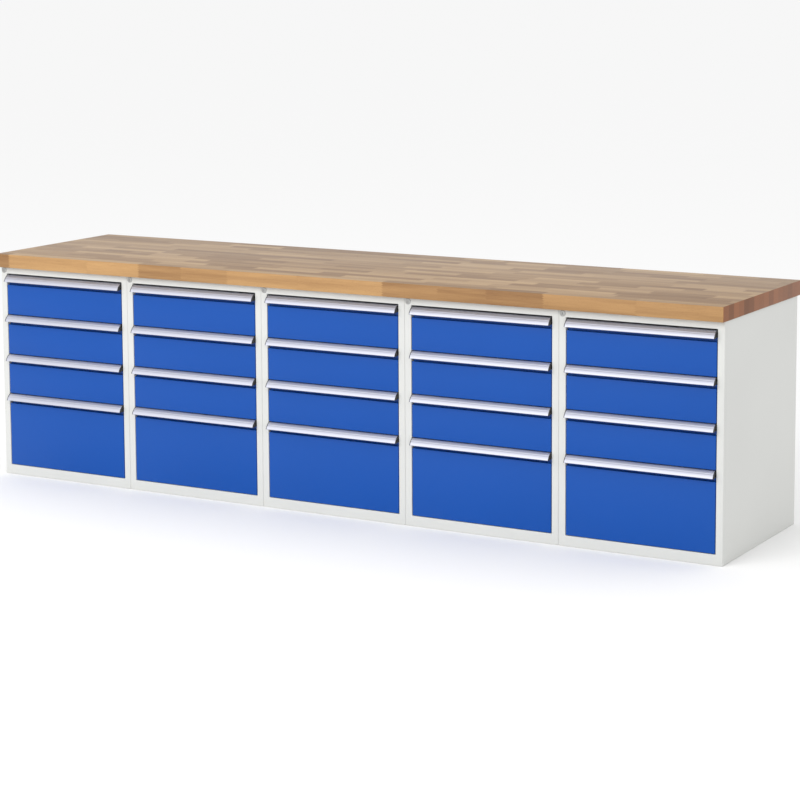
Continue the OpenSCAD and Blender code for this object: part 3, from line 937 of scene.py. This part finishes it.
def frontMesh(low, top):
    # The face, the folds round it, the ledge under the handle and the strip behind it
    ledge = top - drawer["gripDrop"]
    strip = frontY + drawer["frontDepth"] - drawer["sheet"]
    rear = frontY + drawer["frontDepth"]
    panels = [
        flat((-frontHalf, frontY, low), (frontHalf, frontY, ledge), -1),
        flat((-frontHalf, frontY, low), (frontHalf, strip, low), -1),
        flat((-frontHalf, strip, low), (frontHalf, rear, low), -1),
        flat((-frontHalf, frontY, ledge), (frontHalf, strip, ledge), 1),
        flat((-frontHalf, strip, ledge), (frontHalf, strip, top - drawer["stripDrop"]), -1),
    ]
    for side in (-1, 1):
        edge = side * frontHalf
        panels.append(flat((edge, frontY, low), (edge, strip, ledge), side))
        panels.append(flat((edge, strip, low), (edge, rear, ledge), side))
    return sheetMetal(panels, drawer["bend"], drawer["sheet"], "front", frontBlue)


def trayMesh(low, rim, frontLow, trayLow, trayHigh):
    # A folded box with a hemmed rim, and the apron that closes the gap below its front
    xs, ys = [trayLow.x, trayHigh.x], [trayLow.y, trayHigh.y]
    zs = [low, rim - drawer["hemCover"]]
    panels = gridBox(xs, ys, zs, lambda side, end, i, j: side == "z" and end == -1)
    meshes = [sheetMetal(panels, drawer["bend"], drawer["sheet"], "tray", cabinetGrey)]
    hem, inset, sheet = drawer["hem"], drawer["hemInset"], drawer["sheet"]
    base = rim - drawer["hemDrop"]
    alongY, alongX = (ys[0] + hem, ys[1] - hem), (xs[0] + inset, xs[1] - inset)
    for side in (-1, 1):
        for across, axis, ends in ((xs, 1, alongY), (ys, 0, alongX)):
            edge = across[side > 0] - side * (hem / 2 + inset)
            outline = [(edge - hem / 2, base), (edge + hem / 2, base)]
            outline += arcPoints((edge, rim - hem / 2), hem / 2, 0, math.pi, 6)
            meshes.append(toMesh(prism(outline, axis, *ends, edge=cutEdge), "hem"))
    outline = [(ys[0], frontLow), (ys[0] + sheet, frontLow), (ys[0] + sheet, low), (ys[0], low)]
    meshes.append(toMesh(prism(outline, 0, xs[0], xs[1], edge=cutEdge), "apron"))
    return joined(meshes, "tray")


fittings = {
    "gauge": 0.0016,
    "bend": 0.0022,
    "reach": 0.0097,  # from the tray's side to the rail's edge
    "gap": 0.00005,
    "end": 0.260,
    "rivetHead": 0.0065,
    "rivetHeight": 0.0014,
    "rivets": 5,
    "rivetInset": 0.03,  # of the outer ones from the rail's ends
    "lug": 0.007,
    "lugRise": 0.0649,
    "lugHeight": 0.008,
    "lugFront": 0.0275,  # behind the cabinet's front
    "lugDepth": 0.0065,
    "lugGauge": 0.0015,
    "lugEdge": 0.0002,
}


def fittingsMesh(bottom):
    # Moving rails with their rivets on both sides of the tray, and the lock's lug on the left
    side = trayHalf + fittings["gap"]
    low = bottom + runner["lift"] + (runner["height"] - runner["rail"]) / 2
    high = low + runner["rail"]
    edge = trayHalf + fittings["reach"]
    ends = (runnerStart + runner["fit"], fittings["end"])
    path = [(edge, high), (side, high), (side, low), (edge, low)]
    outline = bentProfile(path, fittings["bend"], fittings["gauge"])
    mirrored = [(-x, z) for x, z in outline]
    meshes = [toMesh(prism(each, 1, *ends), "rail", zincSteel) for each in (outline, mirrored)]
    lugY = frontY + fittings["lugFront"]
    lugBack = lugY + fittings["lugDepth"]
    path = [(-trayHalf - fittings["lug"], lugY), (-side, lugY), (-side, lugBack)]
    outline = bentProfile(path, fittings["gauge"], fittings["lugGauge"])
    lugLow = bottom + fittings["lugRise"] - fittings["lugHeight"] / 2
    lugEnds = (lugLow, lugLow + fittings["lugHeight"])
    lug = prism(outline, 2, *lugEnds, edge=fittings["lugEdge"])
    meshes.append(toMesh(lug, "lug", zincSteel))
    points, turns = [], []
    first, last = ends[0] + fittings["rivetInset"], ends[1] - fittings["rivetInset"]
    for k in range(fittings["rivets"]):
        y = first + (last - first) * k / (fittings["rivets"] - 1)
        for sign in (-1, 1):
            points.append((sign * (trayHalf - drawer["sheet"]), y, (low + high) / 2))
            turns.append((0, math.pi / 2, 0))
    sizes = {
        "Head Diameter": fittings["rivetHead"],
        "Head Height": fittings["rivetHeight"],
        "Material": zincSteel,
    }
    meshes.append(grown(points, rivetTree("DomedRivets", sizes), sizes, "rivets", turns))
    return joined(meshes, "fittings")


# Handles: an aluminium extrusion with a black cap on each end

handle = {
    "reach": 0.020,
    "height": 0.022,
    "radius": 0.040,
    "wall": 0.002,
    "bead": 0.003,
    "groove": 0.0005,
    "leg": 0.020,
    "clip": 0.008,
    "fit": 0.0001,
    "cap": 0.002,
    "rim": 0.0006,
}


def handleArc(radius, steps=20, past=0.0):
    # Points on the handle's curved face, from its top edge down to its lip
    lip = Vector((-handle["reach"], -handle["height"]))
    chord = lip.length
    out = Vector((-handle["height"], handle["reach"])) / chord
    centre = lip / 2 - out * math.sqrt(handle["radius"] ** 2 - chord**2 / 4)
    start = math.atan2(-centre.y, -centre.x)
    end = math.atan2(lip.y - centre.y, lip.x - centre.x) + past
    if end < start:
        end += 2 * math.pi
    return arcPoints(centre, radius, start, end, steps)


def handleOutline():
    outer = handleArc(handle["radius"])
    inner = handleArc(handle["radius"] - handle["wall"])
    lip = outer[-1] + Vector((handle["bead"] / 2, 0))
    bead = arcPoints(lip, handle["bead"] / 2, math.pi, math.pi * 2.35, 10)
    depth = drawer["frontDepth"]
    wall = handle["wall"]
    legBack = depth - drawer["sheet"] - handle["fit"]
    hook = depth + handle["fit"]
    # The groove between the two halves of the face
    middle = len(outer) // 2
    way = (outer[middle] - inner[middle]).normalized()
    groove = [outer[middle] - handle["groove"] * way]
    points = outer[:middle] + groove + outer[middle + 1 :] + bead[1:]
    points += inner[-3:3:-1]
    points += [Vector((legBack - wall, -wall)), Vector((legBack - wall, -handle["leg"]))]
    points += [Vector((legBack, -handle["leg"])), Vector((legBack, -wall)), Vector((hook, -wall))]
    points += [Vector((hook, -handle["clip"])), Vector((hook + wall, -handle["clip"]))]
    points += [Vector((hook + wall, 0))]
    return points


def capOutline():
    outer = handleArc(handle["radius"] + handle["rim"])
    lip = outer[-1] + Vector((handle["bead"] / 2, 0))
    back = drawer["frontDepth"] + handle["fit"] + handle["wall"]
    points = [point for point in outer if point.x > -handle["reach"]]
    points += arcPoints(lip, handle["bead"] / 2, math.pi, math.pi * 1.6, 5)
    points += [Vector((0.0, -handle["height"])), Vector((back, -handle["height"]))]
    points += [Vector((back, 0.0))]
    return points


handleMeshes = {}
inside = frontHalf - handle["cap"]
handleMeshes["handleBar"] = toMesh(prism(handleOutline(), 0, -inside, inside), "bar", aluminium)
capEnds = ((-frontHalf, -inside), (inside, frontHalf))
capShapes = [prism(capOutline(), 0, *ends, edge=cutEdge) for ends in capEnds]
caps = [toMesh(shape, "cap", blackPlastic) for shape in capShapes]
handleMeshes["handleCaps"] = joined(caps, "caps")
handleSlots = {"handleBar": "aluminium", "handleCaps": "black_plastic"}

# Drawers of one height share their meshes, moved to each place
drawerMeshes = {}
drawerSlots = {"front": "front_blue", "tray": "cabinet_grey", "fittings": "zinc_steel"}
for c in cabinets:
    for d in drawers:
        low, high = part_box(f"drawer_{c}_{d}")
        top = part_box(f"handle_{c}_{d}")[1].z
        height = round(top - low.z, 4)
        if height not in drawerMeshes:
            bottom = low.z + runner["trayLift"]
            trayLow = Vector((-trayHalf, frontY + drawer["frontDepth"] + drawer["trayGap"], 0))
            trayHigh = Vector((trayHalf, high.y, 0))
            rim = top - drawer["rimDrop"]
            drawerMeshes[height] = {
                "start": low.z,
                "front": frontMesh(low.z, top),
                "tray": trayMesh(bottom, rim, low.z, trayLow, trayHigh),
                "fittings": fittingsMesh(bottom),
            }
        meshes = drawerMeshes[height]
        offset = Vector((cabinetX[c], 0, low.z - meshes["start"]))
        for label, slot in drawerSlots.items():
            name = f"{label}_{c}_{d}"
            piece = newObject(name, moved(meshes[label], offset, name), f"drawer_{c}_{d}")
            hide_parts(f"drawer_{c}_{d}")
        for label, slot in handleSlots.items():
            name = f"{label}_{c}_{d}"
            mesh = moved(handleMeshes[label], (cabinetX[c], frontY, top), name)
            piece = newObject(name, mesh, f"drawer_{c}_{d}")
            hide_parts(f"handle_{c}_{d}")
print("drawers done")


# Camera

camera = {
    "place": (4.1815, -7.1643, 1.9295),
    "yaw": 0.5191,
    "pitch": 0.1195,
    "roll": -0.0053,
    "lens": 105.61,
    "rise": -0.2,
}

view = bpy.data.cameras.new("Camera")
view.lens = camera["lens"]
view.sensor_width = 36
view.shift_y = camera["rise"]
cameraObject = newObject("Camera", view)
yaw, pitch = camera["yaw"], camera["pitch"]
ahead = Vector(
    (-math.sin(yaw) * math.cos(pitch), math.cos(yaw) * math.cos(pitch), -math.sin(pitch))
)
right = Vector((math.cos(yaw), math.sin(yaw), 0))
up = right.cross(ahead)
tilt = Matrix.Rotation(camera["roll"], 3, ahead)
right, up = tilt.transposed() @ right, tilt.transposed() @ up
cameraObject.matrix_world = Matrix.Translation(camera["place"]) @ Matrix(
    (right, up, -ahead)
).transposed().to_4x4()
scene.camera = cameraObject


# Studio: a pale floor, a soft sky and two large lamps

studio = {
    "floor": (0.86, 0.86, 0.86, 1),
    "floorSize": 400.0,
    "sky": 1.08,
    "keyPower": 215.0,
    "fillPower": 10.0,
}

bm = bmesh.new()
bmesh.ops.create_grid(bm, x_segments=1, y_segments=1, size=studio["floorSize"] / 2)
floorMaterial, tree, surface, coords = newMaterial("StudioFloor")
surface.inputs["Base Color"].default_value = studio["floor"]
surface.inputs["Roughness"].default_value = 0.9
surface.inputs["Specular IOR Level"].default_value = 0.0
floor = newObject("studioFloor", toMesh(bm, "studioFloor", floorMaterial))

world = bpy.data.worlds.new("Studio")
world.use_nodes = True
world.node_tree.nodes["Background"].inputs[0].default_value = (1, 1, 1, 1)
world.node_tree.nodes["Background"].inputs[1].default_value = studio["sky"]
scene.world = world


def softLamp(name, place, target, width, height, power):
    lamp = bpy.data.lights.new(name, "AREA")
    lamp.shape = "RECTANGLE"
    lamp.size, lamp.size_y = width, height
    lamp.energy = power
    obj = newObject(name, lamp)
    obj.location = place
    obj.rotation_euler = (Vector(target) - Vector(place)).to_track_quat("-Z", "Y").to_euler()
    return obj


key = softLamp("KeyLamp", (-1.5, -6.0, 4.0), (0, 0, 0.4), 5, 3, studio["keyPower"])
fill = softLamp("FillLamp", (5.0, -3.0, 3.5), (1.0, 0, 0.4), 3, 3, studio["fillPower"])
scene.view_settings.view_transform = "Standard"
print("studio done")
